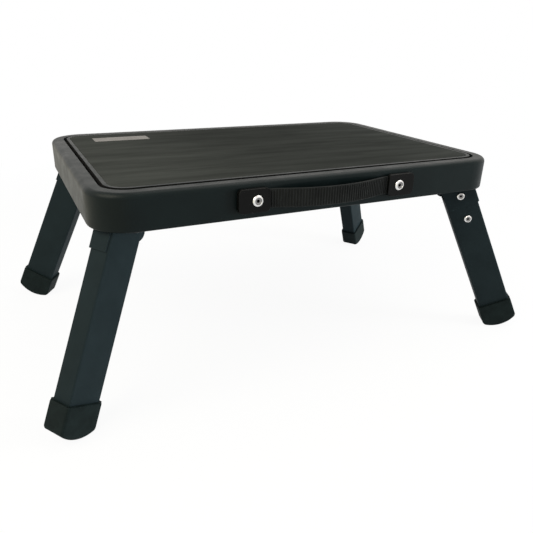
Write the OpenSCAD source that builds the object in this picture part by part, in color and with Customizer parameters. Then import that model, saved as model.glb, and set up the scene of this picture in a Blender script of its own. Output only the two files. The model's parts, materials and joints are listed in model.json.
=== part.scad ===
// Caravan entry step: a moulded deck with an inlaid tread on four splayed folding legs.
// Origin on the floor under the middle of the deck, X along the long side, Z up.
// The carry handle is on the -Y side. All lengths are in millimetres.

/* [Deck] */
// Length of the deck along its long side
deck_l = 480; // [440:5:540]
// Depth of the deck
deck_w = 324.4; // [304:0.2:364]
// Height of the skirt, from its lower edge to the rim
skirt_h = 36.6; // [34:0.1:42]
// Radius of the deck's corners, seen from above
corner_r = 40; // [36:1:44]
// Rounding of the skirt's top edge
top_r = 5.5; // [4:0.5:9]
// Rounding of the skirt's lower edge
low_r = 2; // [1:0.5:4]
// Thickness of the skirt
wall_t = 3.5; // [3:0.25:4.25]
// Thickness of the bead along the skirt's lower edge
lip_t = 5; // [4.75:0.25:5.5]
// Height of that bead
lip_h = 7; // [5:0.5:9]
// Width of the rim around the tread
rim_w = 14.3; // [12:0.1:18]
// Depth of the recess that holds the tread
recess_d = 6; // [5:0.25:6.5]
// Thickness of the plate under the tread
plate_t = 3.5; // [3:0.25:4]
// Thickness of the ribs under the plate
rib_t = 3; // [2.5:0.25:4]
// Height of the ribs
rib_h = 8.5; // [7.5:0.25:9]
// Distance between the ribs
rib_pitch = 40; // [32:1:50]

/* [Tread] */
// Width of the shadow gap around the tread
gap_w = 2.2; // [1.5:0.1:3]
// Width of the bead around the mat
bead_w = 4.5; // [3.5:0.1:6]
// Bevel of the bead's outer edge
bead_bevel = 1.4; // [0.8:0.1:2]
// Depth of the mat's pocket
mat_pocket = 2.5; // [1.5:0.25:3]
// Height of the mat above the bead
mat_proud = 0.6; // [0.6:0.1:1.5]
// Rounding of the mat's upper edge
mat_r = 0.8; // [0.4:0.1:1.2]
// Length of the bare label
label_l = 70; // [50:1:90]
// Depth of the bare label
label_w = 25; // [16:1:32]
// Distance of the label from the mat's short side
label_in_x = 27.8; // [15:0.1:60]
// Distance of the label from the mat's long side
label_in_y = 25.5; // [10:0.1:40]
// Thickness of the bare label
label_t = 0.5; // [0.3:0.1:0.9]

/* [Legs] */
// Length of a leg from its pivot to the end of its tube
leg_l = 196; // [180:1:198]
// Splay of the legs from upright
splay = 25.35; // [23:0.05:27]
// Direction of the splay, away from the long side
splay_dir = 32.2; // [31:0.1:32.6]
// Distance of a leg's centreline from the deck's short side, at the skirt's lower edge
leg_in_x = 31.3; // [31:0.1:36]
// Distance of a leg's centreline from the deck's long side, at the skirt's lower edge
leg_in_y = 34.9; // [33:0.1:35.5]
// Width of the leg tube across its broad side
tube_w = 38; // [35:0.1:38.4]
// Width of the leg tube across its narrow side
tube_d = 23; // [21:0.5:23.5]
// Wall of the leg tube
tube_t = 1.5; // [1.2:0.1:2]
// Outer corner radius of the leg tube
tube_r = 2; // [2:0.25:4]

/* [Hinge] */
// Distance from the leg's centreline in to its pivot
pivot_in = 8; // [7:0.25:9]
// Diameter of the pivot pin
pin_d = 8; // [6:0.5:9]
// Thickness of the pin's heads
pin_head_t = 2; // [1.5:0.25:3]
// Sheet thickness of the leg bracket and of the liner in the tube
sheet_t = 1.5; // [1.25:0.25:1.75]
// Length of the leg bracket below the pivot
web_l = 29.5; // [24:0.5:34]
// Length of the liner's riveted side below the pivot
liner_l = 56; // [54:1:62]
// Radius of the liner's lobe
lobe_r = 9.6; // [9:0.1:9.9]
// Radius of the tongue that the leg turns on
tongue_r = 8; // [7:0.25:8.2]
// Thickness of the hinge block's base plate
block_t = 4; // [3:0.25:5]
// Length of the hinge block's base plate
block_l = 50; // [44:1:52]
// Width of the hinge block's base plate
block_w = 43; // [41:0.5:44]
// Diameter of the block screws
screw_d = 4; // [3.5:0.25:4.5]
// Diameter of the rivet heads on the leg
rivet_d = 10.5; // [9:0.25:12]

/* [Feet] */
// Length of the foot cap over the tube
cap_over = 22; // [16:1:26]
// Thickness of the foot cap below the tube
cap_t = 12.5; // [11:0.5:14]
// Wall of the foot cap on the tube's narrow sides
cap_wall_w = 2.4; // [2:0.1:4]
// Wall of the foot cap on the tube's broad sides
cap_wall_d = 2.1; // [1.5:0.1:2.2]
// Radius of the rocking sole
sole_r = 37; // [34:1:40]
// Rounding at the sole's two ends
sole_soft = 4; // [2:0.5:5]

/* [Handle] */
// Distance of the handle's middle from the deck's middle
handle_x = 0; // [-10:1:10]
// Distance between the handle's rivets
handle_pitch = 170.8; // [160:0.2:180]
// Length of each handle end
end_l = 34; // [30:1:38]
// Height of each handle end
end_h = 24; // [22:0.5:25]
// Thickness of each handle end
end_t = 6; // [5:0.25:8]
// Height of the strap
strap_h = 19.5; // [15:0.5:20]
// Thickness of the strap
strap_t = 3; // [2:0.25:3.5]
// Distance between the strap's ribs
strap_rib_pitch = 3; // [2:0.5:5]
// Height of the strap's ribs
strap_rib_t = 0.8; // [0.5:0.1:1.2]
// Plain border above and below the strap's ribs
strap_edge = 1.4; // [0.8:0.1:3]
// Bow of the strap away from the skirt
strap_bow = 13; // [10:0.5:18]
// Bend radius where the strap leaves its ends
strap_bend = 40; // [25:1:60]
// Diameter of the handle's rivet heads
handle_rivet_d = 12.4; // [10:0.1:14]
// Height of the handle's rivets below the rim
handle_drop = 17.4; // [16.9:0.1:18]

/* [Hidden] */
$fn = 64;

// Running clearances
stop_gap = 0.3;
side_gap = 0.8;
pin_fit = 0.05;

// Heights, built up from the sole on the floor
sole_z = leg_l + cap_t - sole_r;
pivot_z = sole_r + sole_z * cos(splay) - pivot_in * sin(splay);
deck_z = pivot_z + pivot_in * sin(splay);
rim_z = deck_z + skirt_h;
recess_z = rim_z - recess_d;
under_z = recess_z - plate_t;
rib_z = under_z - rib_h;
block_z = rib_z - block_t;

// Plan positions of the pivots
leg_x = deck_l / 2 - leg_in_x;
leg_y = deck_w / 2 - leg_in_y;
pivot_x = leg_x - pivot_in * cos(splay) * cos(splay_dir);
pivot_y = leg_y - pivot_in * cos(splay) * sin(splay_dir);

// Leg section, measured from the pivot, with X outward and Y across the leg
half_d = tube_d / 2;
in_x = pivot_in - tube_w / 2;
out_x = pivot_in + tube_w / 2;
bore_d = tube_d - 2 * tube_t;
liner_y = bore_d / 2 - sheet_t;
tongue_w = 2 * (liner_y - side_gap);
plate_y = half_d + sheet_t;
web_top = 2;
web_short = 1.6;
bend_r = sheet_t + 0.8;
knuckle_r = tongue_r + 1;
lobe_x = -6.4;
lobe_z = -5.3;
notch_z = lobe_z - lobe_r - 0.3;
hang = block_z - pivot_z;
heel_t = 7;

// Rivets in the leg, measured down from the pivot
rivet_z1 = 14.7;
rivet_pitch = 32.4;
rivet_off = 1;
rivet_t = 1.8;
shank_d = 4.8;

// Handle ends reach further past their rivets than towards the grip
end_off = 3;
strap_end = 13;
strap_in = 0.7;

// Places of the block screws on the base plate, and their bosses
block_off = -1;
wide_l = block_l - 13;
wide_x = block_off - block_l / 2 + wide_l / 2;
hole_x = wide_l / 2 - 6;
hole_y = block_w / 2 - 4.5;
boss_d = screw_d + 6;
screw_in = 7;

// Tread levels
tread_in = rim_w + gap_w;
mat_in = tread_in + bead_w;
label_x = mat_in + label_in_x + label_l / 2 - deck_l / 2;
label_y = deck_w / 2 - mat_in - label_in_y - label_w / 2;

slate = [0.16, 0.18, 0.18];
matt = [0.24, 0.24, 0.23];
dark = [0.10, 0.11, 0.11];
bright = [0.78, 0.79, 0.80];

// Rounded rectangle about the origin
module rrect(l, w, r) {
    square([l - 2 * r, w], center = true);
    square([l, w - 2 * r], center = true);
    for (x = [-1, 1], y = [-1, 1])
        translate([x * (l / 2 - r), y * (w / 2 - r)])
            circle(r = r);
}

// Edge section, from the corner's centre at X = 0 out to X = r
module edge_round(r, h, rt, rb) {
    square([r - rb, h - rt]);
    square([r - rt, h]);
    translate([0, rb])
        square([r, h - rt - rb]);
    translate([r - rt, h - rt])
        circle(r = rt);
    translate([r - rb, rb])
        circle(r = rb);
}

// Edge section with a bevelled upper edge
module edge_bevel(r, h, c) {
    polygon([[0, 0], [r, 0], [r, h - c], [r - c, h], [0, h]]);
}

// Slab with round corners, whose edge follows the section given as its child
module slab(l, w, r, h) {
    a = l / 2 - r;
    b = w / 2 - r;
    translate([-a, -b, 0])
        cube([2 * a, 2 * b, h]);
    for (q = [0 : 3]) {
        p = q % 2 == 0 ? a : b;
        s = q % 2 == 0 ? b : a;
        rotate([0, 0, 90 * q]) {
            translate([p, s, 0])
                rotate_extrude(angle = 90)
                    children();
            translate([p, s, 0])
                rotate([90, 0, 0])
                    linear_extrude(2 * s)
                        children();
        }
    }
}

// Block frame at a corner: origin at the pivot, X outward
module at_block(i) {
    x = (i == 0 || i == 2) ? -1 : 1;
    y = (i == 0 || i == 1) ? -1 : 1;
    turn = x * y > 0 ? splay_dir : -splay_dir;
    translate([x * pivot_x, y * pivot_y, pivot_z])
        rotate([0, 0, turn + (x < 0 ? 180 : 0)])
            children();
}

// Leg frame at a corner: as the block frame, with the leg along -Z
module at_leg(i) {
    at_block(i)
        rotate([0, -splay, 0])
            children();
}

// Side profile pulled across the leg from y0 to y1
module across(y0, y1) {
    translate([0, y1, 0])
        rotate([90, 0, 0])
            linear_extrude(y1 - y0)
                children();
}

module each_screw() {
    for (x = [-1, 1], y = [-1, 1])
        translate([wide_x + x * hole_x, y * hole_y, 0])
            children();
}

module panel_spots() {
    for (x = [-1, 0, 1], y = [-1, 1])
        translate([x * 3 * rib_pitch, y * 2.5 * rib_pitch, 0])
            children();
}

// Outer form of the deck moulding
module deck_form() {
    translate([0, 0, deck_z])
        slab(deck_l, deck_w, corner_r, skirt_h)
            edge_round(corner_r, skirt_h, top_r, low_r);
}

// Rim around the tread, down to the plate's underside
module deck_rim() {
    color(slate)
        difference() {
            deck_form();
            translate([-deck_l, -deck_w, deck_z - 1])
                cube([2 * deck_l, 2 * deck_w, under_z - deck_z + 1]);
            translate([0, 0, deck_z])
                linear_extrude(skirt_h + 1)
                    rrect(deck_l - 2 * rim_w, deck_w - 2 * rim_w, corner_r - rim_w);
        }
}

// Skirt below the rim, with a bead along its lower edge
module deck_skirt() {
    color(slate)
        difference() {
            deck_form();
            translate([-deck_l, -deck_w, under_z])
                cube([2 * deck_l, 2 * deck_w, skirt_h]);
            translate([0, 0, deck_z - 1])
                linear_extrude(skirt_h)
                    rrect(deck_l - 2 * lip_t, deck_w - 2 * lip_t, corner_r - lip_t - 6);
            translate([0, 0, deck_z + lip_h])
                linear_extrude(skirt_h)
                    rrect(deck_l - 2 * wall_t, deck_w - 2 * wall_t, corner_r - wall_t - 4);
            handle_spots()
                translate([0, 0, -wall_t - 1])
                    cylinder(d = shank_d, h = wall_t + 2);
        }
}

// Plate that carries the tread
module deck_plate() {
    color(slate)
        difference() {
            translate([0, 0, under_z])
                linear_extrude(plate_t)
                    rrect(deck_l - 2 * rim_w, deck_w - 2 * rim_w, corner_r - rim_w);
            translate([0, 0, under_z - 1])
                panel_spots()
                    cylinder(d = 4.2, h = plate_t + 2);
        }
}

// Ribs under the plate, with the bosses that carry the hinge blocks
module deck_ribs() {
    color(slate)
        difference() {
            union() {
                intersection() {
                    translate([0, 0, rib_z])
                        linear_extrude(rib_h)
                            rrect(deck_l - 2 * wall_t, deck_w - 2 * wall_t, corner_r - wall_t - 4);
                    union() {
                        for (x = [rib_pitch / 2 : rib_pitch : deck_l / 2 - wall_t], s = [-1, 1])
                            translate([s * x - rib_t / 2, -deck_w / 2, rib_z])
                                cube([rib_t, deck_w, rib_h]);
                        for (y = [0 : rib_pitch : deck_w / 2 - wall_t], s = [-1, 1])
                            translate([-deck_l / 2, s * y - rib_t / 2, rib_z])
                                cube([deck_l, rib_t, rib_h]);
                    }
                }
                for (i = [0 : 3])
                    at_block(i)
                        translate([0, 0, rib_z - pivot_z])
                            each_screw()
                                cylinder(d = boss_d, h = rib_h);
            }
            for (i = [0 : 3])
                at_block(i)
                    translate([0, 0, rib_z - pivot_z - 1])
                        each_screw()
                            cylinder(d = screw_d, h = screw_in + 1);
        }
}

module tread_panel() {
    l = deck_l - 2 * tread_in;
    w = deck_w - 2 * tread_in;
    r = corner_r - tread_in;
    color(slate)
        difference() {
            translate([0, 0, recess_z])
                slab(l, w, r, recess_d)
                    edge_bevel(r, recess_d, bead_bevel);
            translate([0, 0, rim_z - mat_pocket])
                linear_extrude(mat_pocket + 1)
                    rrect(deck_l - 2 * mat_in, deck_w - 2 * mat_in, corner_r - mat_in);
            translate([0, 0, recess_z - 1])
                panel_spots()
                    cylinder(d = 3, h = recess_d - mat_pocket - 0.5 + 1);
        }
}

module tread_mat() {
    l = deck_l - 2 * mat_in;
    w = deck_w - 2 * mat_in;
    r = corner_r - mat_in;
    h = mat_pocket + mat_proud;
    color(matt)
        difference() {
            translate([0, 0, rim_z - mat_pocket])
                slab(l, w, r, h)
                    edge_round(r, h, mat_r, 0.2);
            translate([label_x, label_y, rim_z + mat_proud - label_t])
                linear_extrude(label_t + 1)
                    rrect(label_l, label_w, 2);
        }
}

module blank_label() {
    color([0.62, 0.62, 0.60])
        translate([label_x, label_y, rim_z + mat_proud - label_t])
            linear_extrude(label_t)
                rrect(label_l, label_w, 2);
}

// Pan head hanging below Z = 0, with a socket for the driver
module pan_head(d, t) {
    rotate([180, 0, 0])
        difference() {
            rotate_extrude()
                intersection() {
                    square([d / 2, t]);
                    translate([0, t - dome(d, t)])
                        circle(r = dome(d, t), $fn = 128);
                }
            translate([0, 0, t * 0.45])
                cylinder(d = d * 0.38, h = t, $fn = 6);
        }
}

module panel_screws() {
    color(bright)
        panel_spots() {
            translate([0, 0, under_z])
                pan_head(8, 2.4);
            translate([0, 0, under_z])
                cylinder(d = 3, h = plate_t + recess_d - mat_pocket - 0.5);
        }
}

// Block screwed under the deck: base plate, tongue for the pivot and stop heel
module hinge_block(i) {
    color(dark)
        at_block(i)
            difference() {
                union() {
                    translate([0, 0, hang])
                        linear_extrude(block_t) {
                            translate([wide_x, 0])
                                rrect(wide_l, block_w, 5);
                            translate([block_off + block_l / 4, 0])
                                rrect(block_l / 2, 2 * plate_y + 1, 3);
                        }
                    across(-tongue_w / 2, tongue_w / 2) {
                        circle(r = tongue_r);
                        translate([-tongue_r, 0])
                            square([2 * tongue_r, hang + 1]);
                    }
                    across(-3, 3)
                        polygon([[0, hang + 1], [0, tongue_r + 2], [18, hang - 6], [18, hang + 1]]);
                    intersection() {
                        rotate([0, -splay, 0])
                            translate([out_x - heel_t, -plate_y, web_top + stop_gap])
                                cube([heel_t + sheet_t, 2 * plate_y, 2 * hang]);
                        translate([-block_l, -block_w, 0])
                            cube([2 * block_l, 2 * block_w, hang + 1]);
                    }
                }
                across(-block_w, block_w)
                    circle(r = pin_d / 2 + pin_fit);
                translate([0, 0, hang - 1])
                    each_screw()
                        cylinder(d = screw_d, h = block_t + 2);
            }
}

module block_screws(i) {
    color(bright)
        at_block(i)
            translate([0, 0, hang])
                each_screw() {
                    pan_head(2 * screw_d, 2.6);
                    cylinder(d = screw_d, h = block_t + screw_in - 0.5);
                }
}

// Folded sheet bracket: riveted side and outer web
module leg_bracket(i) {
    color(slate)
        at_leg(i)
            difference() {
                intersection() {
                    translate([out_x + sheet_t - tube_w, 0, -web_l - 1])
                        linear_extrude(web_l + tube_w)
                            rrect(2 * tube_w, 2 * plate_y, bend_r);
                    union() {
                        across(-plate_y, -half_d) {
                            circle(r = knuckle_r);
                            translate([in_x, -web_l])
                                square([tube_w + sheet_t, web_l + web_top]);
                        }
                        translate([out_x, -plate_y, -web_l])
                            cube([sheet_t, plate_y + half_d - web_short, web_l + web_top]);
                    }
                }
                across(-plate_y - 1, 0)
                    circle(d = pin_d);
                leg_spots(0)
                    across(-plate_y - 1, 0)
                        circle(d = shank_d);
            }
}

// Frame at each leg rivet: k is 0 for the upper one and 1 for the lower one
module leg_spots(k) {
    translate([pivot_in + rivet_off, 0, -rivet_z1 - k * rivet_pitch])
        children();
}

// Sheet liner in the tube's top: long riveted side, web and lobed ear
module leg_liner(i) {
    x = out_x - tube_t;
    color(slate)
        at_leg(i)
            difference() {
                intersection() {
                    translate([x - tube_w, 0, -liner_l - 1])
                        linear_extrude(liner_l + tube_w)
                            rrect(2 * tube_w, bore_d, bend_r);
                    union() {
                        across(-bore_d / 2, -liner_y) {
                            circle(r = tongue_r);
                            translate([in_x + tube_t + 1, -liner_l])
                                square([tube_w - 2 * tube_t - 1, liner_l]);
                        }
                        translate([x - sheet_t, -bore_d / 2, -web_l])
                            cube([sheet_t, bore_d, web_l]);
                        across(liner_y, bore_d / 2) {
                            circle(r = tongue_r);
                            translate([lobe_x, lobe_z])
                                circle(r = lobe_r);
                            translate([lobe_x, lobe_z - lobe_r])
                                square([x - lobe_x, lobe_r - lobe_z]);
                        }
                    }
                }
                across(-half_d, half_d)
                    circle(d = pin_d);
                for (k = [0, 1])
                    leg_spots(k)
                        across(-half_d, 0)
                            circle(d = shank_d);
            }
}

// Rectangular tube, cut away at its inner top edge for the tongue
module leg_tube(i) {
    color(slate)
        at_leg(i)
            difference() {
                intersection() {
                    translate([pivot_in, 0, -leg_l])
                        linear_extrude(leg_l + 20)
                            rrect(tube_w, tube_d, tube_r);
                    across(-tube_d, tube_d) {
                        circle(r = knuckle_r);
                        translate([in_x - 1, -leg_l - 1])
                            square([tube_w + 2, leg_l + 1 + web_top]);
                    }
                }
                translate([pivot_in, 0, -leg_l - 1])
                    linear_extrude(leg_l + 30)
                        rrect(tube_w - 2 * tube_t, bore_d, tube_r - tube_t);
                translate([in_x - 1, -bore_d / 2, notch_z])
                    cube([tube_t + 3, bore_d, tube_w]);
                across(-tube_d, tube_d)
                    circle(d = pin_d);
                for (k = [0, 1])
                    leg_spots(k)
                        across(-half_d - 1, 0)
                            circle(d = shank_d);
            }
}

// Side profile of the foot about the sole's centre: an arc between two softer ends
module sole_profile() {
    x = tube_w / 2 + cap_wall_w - sole_soft;
    z = -sqrt(pow(sole_r - sole_soft, 2) - x * x);
    intersection() {
        circle(r = sole_r, $fn = 96);
        polygon([[0, 0], [2 * x, 2 * z], [-2 * x, 2 * z]]);
    }
    for (s = [-1, 1])
        translate([s * x, z])
            circle(r = sole_soft);
    translate([-x - sole_soft, z])
        square([2 * (x + sole_soft), sole_z]);
}

// Foot cap with a rocking sole
module leg_foot(i) {
    color(dark)
        at_leg(i)
            difference() {
                intersection() {
                    translate([pivot_in, 0, -leg_l - cap_t - 1])
                        linear_extrude(cap_over + cap_t + 1)
                            rrect(tube_w + 2 * cap_wall_w, tube_d + 2 * cap_wall_d, tube_r + 1);
                    across(-tube_d, tube_d)
                        translate([pivot_in, -sole_z])
                            sole_profile();
                }
                translate([pivot_in, 0, -leg_l])
                    linear_extrude(cap_over + 1)
                        rrect(tube_w, tube_d, tube_r);
            }
}

module pivot_pin(i) {
    color(dark)
        at_leg(i) {
            across(-plate_y, half_d)
                circle(d = pin_d);
            across(-plate_y - pin_head_t, -plate_y)
                circle(d = pin_d + 5);
            across(half_d, half_d + pin_head_t)
                circle(d = pin_d + 5);
        }
}

// The two blind rivets of a leg: through bracket, tube and liner, and through tube and liner
module leg_rivets(i) {
    color(bright)
        at_leg(i)
            for (k = [0, 1]) {
                seat = k == 0 ? plate_y : half_d;
                leg_spots(k)
                    union() {
                        translate([0, -seat, 0])
                            rotate([90, 0, 0])
                                rivet_head(rivet_d, rivet_t);
                        across(-seat, -liner_y)
                            circle(d = shank_d);
                        across(-liner_y, 3 - liner_y)
                            circle(d = shank_d + 2);
                    }
            }
}

// Domed rivet head about Z, from its seat up, with the hole left by its mandrel
module rivet_head(d, t) {
    rotate_extrude()
        difference() {
            intersection() {
                square([d / 2, t]);
                translate([0, t - dome(d, t)])
                    circle(r = dome(d, t), $fn = 128);
            }
            translate([0, t * 0.35])
                square([1.5, t]);
        }
}

// Radius of the dome that leaves a rim a third of the head's height
function dome(d, t) = (d * d / 4 + t * t * 4 / 9) / (t * 4 / 3);

// Frame on the skirt's face at each handle rivet: Z outward
module handle_spots() {
    for (s = [-1, 1])
        translate([handle_x + s * handle_pitch / 2, -deck_w / 2, rim_z - handle_drop])
            rotate([90, 0, 0])
                children();
}

// Half the length of the free strap, and the arcs that bow it
grip = handle_pitch / 2 - end_l / 2 + end_off + strap_in;
turn_a = 2 * atan(strap_bow / grip);
arc_r = grip / sin(turn_a) - strap_bend;
deg = 180 / PI;
run_arc = arc_r * turn_a / deg;
run_bend = run_arc + strap_bend * turn_a / deg;
run_end = run_bend + handle_pitch / 2 + strap_end - grip;
strap_steps = 30;

// Point on the bowed strap: s along it from the middle, off outward from its centreline
function strap_half(m, off) =
    m <= run_arc
        ? [(arc_r + off) * sin(m / arc_r * deg), arc_r - strap_bow - (arc_r + off) * cos(m / arc_r * deg)]
        : m <= run_bend
            ? [grip - (strap_bend - off) * sin(turn_a - (m - run_arc) / strap_bend * deg),
                (strap_bend - off) * cos(turn_a - (m - run_arc) / strap_bend * deg) - strap_bend]
            : [grip + m - run_bend, -off];
function strap_at(s, off) = [sign(s) * strap_half(abs(s), off)[0], strap_half(abs(s), off)[1]];

module handle_strap() {
    stations = concat([-run_end], [for (k = [-strap_steps : strap_steps]) k * run_bend / strap_steps], [run_end]);
    n = len(stations);
    color(dark)
        translate([handle_x, -deck_w / 2 - strap_t / 2, rim_z - handle_drop])
            difference() {
                translate([0, 0, -strap_h / 2])
                    linear_extrude(strap_h)
                        polygon(concat(
                            [for (k = [0 : n - 1]) strap_at(stations[k], strap_t / 2 - strap_rib_t)],
                            [for (k = [n - 1 : -1 : 0]) strap_at(stations[k], -strap_t / 2)]));
                for (s = [-1, 1])
                    translate([s * handle_pitch / 2, 0, 0])
                        across(-strap_t, strap_t)
                            circle(d = shank_d);
            }
}

// Facing on the strap's outer side, with upright ribs
module strap_ribs() {
    n = floor(run_arc / strap_rib_pitch);
    base = strap_t / 2 - strap_rib_t;
    color(dark)
        translate([handle_x, -deck_w / 2 - strap_t / 2, rim_z - handle_drop - strap_h / 2 + strap_edge])
            linear_extrude(strap_h - 2 * strap_edge)
                polygon(concat(
                    [for (k = [-n : n], q = [-0.44, -0.28, 0.28, 0.44])
                        strap_at((k + q) * strap_rib_pitch, abs(q) < 0.3 ? strap_t / 2 : base + 0.3)],
                    [for (k = [strap_steps : -1 : -strap_steps])
                        strap_at(k * (n + 0.44) * strap_rib_pitch / strap_steps, base)]));
}

module scale_x(s) {
    if (s > 0)
        children();
    else
        mirror([1, 0, 0])
            children();
}

// Moulded end over the strap's flat end
module handle_end(s) {
    color(dark)
        translate([handle_x + s * handle_pitch / 2, -deck_w / 2, rim_z - handle_drop])
            rotate([90, 0, 0])
                scale_x(s)
                    difference() {
                        translate([end_off, 0, 0])
                            linear_extrude(end_t)
                                rrect(end_l, end_h, 5);
                        translate([-end_l, -strap_h / 2, -1])
                            cube([end_l + strap_end, strap_h, strap_t + 1]);
                        translate([0, 0, -1])
                            cylinder(d = shank_d, h = end_t + 2);
                    }
}

module handle_rivets() {
    color(bright)
        handle_spots()
            union() {
                translate([0, 0, end_t])
                    rivet_head(handle_rivet_d, 2);
                translate([0, 0, -wall_t])
                    cylinder(d = shank_d, h = wall_t + end_t);
                translate([0, 0, -wall_t - 2.5])
                    cylinder(d = shank_d + 3, h = 2.5);
            }
}

deck_rim();
deck_skirt();
deck_plate();
deck_ribs();
tread_panel();
tread_mat();
blank_label();
panel_screws();
hinge_block(0);  // hinge_block_lf
hinge_block(1);  // hinge_block_rf
hinge_block(2);  // hinge_block_lr
hinge_block(3);  // hinge_block_rr
block_screws(0);  // block_screws_lf
block_screws(1);  // block_screws_rf
block_screws(2);  // block_screws_lr
block_screws(3);  // block_screws_rr
leg_bracket(0);  // leg_bracket_lf
leg_bracket(1);  // leg_bracket_rf
leg_bracket(2);  // leg_bracket_lr
leg_bracket(3);  // leg_bracket_rr
leg_liner(0);  // leg_liner_lf
leg_liner(1);  // leg_liner_rf
leg_liner(2);  // leg_liner_lr
leg_liner(3);  // leg_liner_rr
leg_tube(0);  // leg_tube_lf
leg_tube(1);  // leg_tube_rf
leg_tube(2);  // leg_tube_lr
leg_tube(3);  // leg_tube_rr
leg_foot(0);  // leg_foot_lf
leg_foot(1);  // leg_foot_rf
leg_foot(2);  // leg_foot_lr
leg_foot(3);  // leg_foot_rr
pivot_pin(0);  // pivot_pin_lf
pivot_pin(1);  // pivot_pin_rf
pivot_pin(2);  // pivot_pin_lr
pivot_pin(3);  // pivot_pin_rr
leg_rivets(0);  // leg_rivets_lf
leg_rivets(1);  // leg_rivets_rf
leg_rivets(2);  // leg_rivets_lr
leg_rivets(3);  // leg_rivets_rr
handle_strap();
strap_ribs();
handle_end(-1);  // handle_end_left
handle_end(1);  // handle_end_right
handle_rivets();
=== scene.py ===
"""Dresses the folding caravan entry step: deck, rubber tread, splayed legs, strap handle and stage."""

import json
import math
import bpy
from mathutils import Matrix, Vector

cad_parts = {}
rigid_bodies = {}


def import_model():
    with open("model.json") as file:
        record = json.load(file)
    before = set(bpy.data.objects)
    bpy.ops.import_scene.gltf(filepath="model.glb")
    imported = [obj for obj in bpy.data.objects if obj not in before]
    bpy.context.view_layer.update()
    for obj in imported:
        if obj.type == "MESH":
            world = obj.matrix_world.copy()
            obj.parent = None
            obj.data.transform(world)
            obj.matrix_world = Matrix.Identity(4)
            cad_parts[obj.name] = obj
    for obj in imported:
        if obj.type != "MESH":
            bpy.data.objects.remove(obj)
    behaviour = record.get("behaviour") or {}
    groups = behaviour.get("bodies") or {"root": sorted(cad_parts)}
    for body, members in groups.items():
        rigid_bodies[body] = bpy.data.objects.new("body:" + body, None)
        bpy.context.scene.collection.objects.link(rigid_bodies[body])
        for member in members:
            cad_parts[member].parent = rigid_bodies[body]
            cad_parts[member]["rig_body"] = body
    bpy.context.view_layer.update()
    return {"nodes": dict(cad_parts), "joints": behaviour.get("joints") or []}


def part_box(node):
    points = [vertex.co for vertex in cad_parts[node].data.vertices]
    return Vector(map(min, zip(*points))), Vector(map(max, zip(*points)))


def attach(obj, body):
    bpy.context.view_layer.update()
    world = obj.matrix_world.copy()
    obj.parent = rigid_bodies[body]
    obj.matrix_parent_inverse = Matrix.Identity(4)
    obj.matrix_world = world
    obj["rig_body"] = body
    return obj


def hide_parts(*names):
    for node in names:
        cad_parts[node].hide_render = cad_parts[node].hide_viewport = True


bl_info = {
    "name": "Caravan Entry Step",
    "version": (1, 0, 0),
    "blender": (4, 5, 0),
    "location": "View3D > Sidebar > Step",
    "description": "Finishes a folding caravan entry step with its deck, tread, legs, handle and stage",
    "category": "Object",
}

import bmesh
import bpy
from mathutils import Matrix, Vector

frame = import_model()
CORNERS = ("lf", "rf", "lr", "rr")
SPLAY = math.radians(25.35)
RIM_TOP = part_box("deck_rim")[1].z

# Corner radius of the deck's outline
DECK_CORNER = 0.040

# The bead round the tread panel: its width, its middle line, and how far in the painted shade on its outer
# wall reaches
BEAD_WIDTH = 0.006
BEAD_MIDDLE = 0.003
BEAD_PAINTED_SHADE = 0.0025

# How far the bead rises, and how far its outer wall's top and foot and its inner edge move inwards
BEAD_RISE = 0.0005
BEAD_TOP_IN = 0.0004
BEAD_FOOT_IN = 0.0008
BEAD_INNER_IN = 0.0012

# Painted light on the tread: where it is darkest along its length, and how far from there it starts and stops
# growing paler
TREAD_LEAST_PAINTED_LIGHT = 0.03
TREAD_PAINTED_LIGHT_FROM = 0.04
TREAD_PAINTED_LIGHT_TO = 0.21

# Rivets: hole and painted-shade dish as shares of the head's radius, depth of the hole, radius of the shank
RIVET_HOLE = 0.29
RIVET_SHADED_DISH = 0.62
RIVET_HOLE_DEPTH = 0.0006
RIVET_SHANK = 0.0024

# Dished top of a rivet's head, in shares of its radius and its rise
RIVET_TOP = (
    (1, 0.28),
    (0.96, 0.48),
    (0.88, 0.74),
    (0.78, 0.93),
    (0.70, 1),
    (0.64, 0.97),
    (0.60, 0.82),
    (0.57, 0.66),
    (0.50, 0.60),
)

# Where the rivets' heads sit on a leg, in the leg's own frame
LEG_RIVETS = (
    (0.0090, -0.0130, -0.0147),
    (0.0090, -0.0115, -0.0471),
)

# The strap's thickness, the rounding of its edges and the length of each flat end
STRAP_THICKNESS = 0.0022
STRAP_ROUNDING = 0.0008
STRAP_FLAT_END = 0.0263
RIB_MARGIN = 0.0018

# Each lamp's name, place, target, size, share of the power setting and colour
LAMPS = (
    ("key", (-0.88, -0.34, 0.92), (-0.05, 0, 0.15), 0.9, 0.40, (1.0, 0.95, 0.76)),
    ("top", (0.60, 0.0, 1.30), (0.05, 0, 0.2), 1.3, 0.30, (1.0, 0.985, 0.94)),
    ("side", (1.35, -0.89, 0.28), (-0.2, -0.1, 0.12), 0.5, 1.1, (1.0, 1.0, 0.98)),
)

# Angle, in radians, below which two faces count as one plane, and distance at which vertices are joined
FLAT = 0.007
WELD = 2e-6

# Angle above which an edge is eased
EASED_ANGLE = math.radians(34)

# How often a patch with holes is cut before it is left as it is
MOST_CUTS = 6

# Range that holds nearly all values of the noise
NOISE = (0.3, 0.7)


# Shared helpers for meshes


def leg_matrix(corner):
    """Leg frame at a corner: origin at the pivot, X outward, Y across the leg, leg along -Z."""
    joint = next(j for j in frame["joints"] if j["name"] == "fold_" + corner)
    across = Vector(joint["axis"])
    outward = Vector((across.y, -across.x, 0))
    turn = Matrix((outward, across, Vector((0, 0, 1)))).transposed().to_4x4()
    return Matrix.Translation(joint["pos_m"]) @ turn @ Matrix.Rotation(-SPLAY, 4, "Y")


def link(name, mesh):
    """Puts a mesh in the scene as an object at the origin."""
    piece = bpy.data.objects.new(name, mesh)
    bpy.context.scene.collection.objects.link(piece)
    return piece


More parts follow.
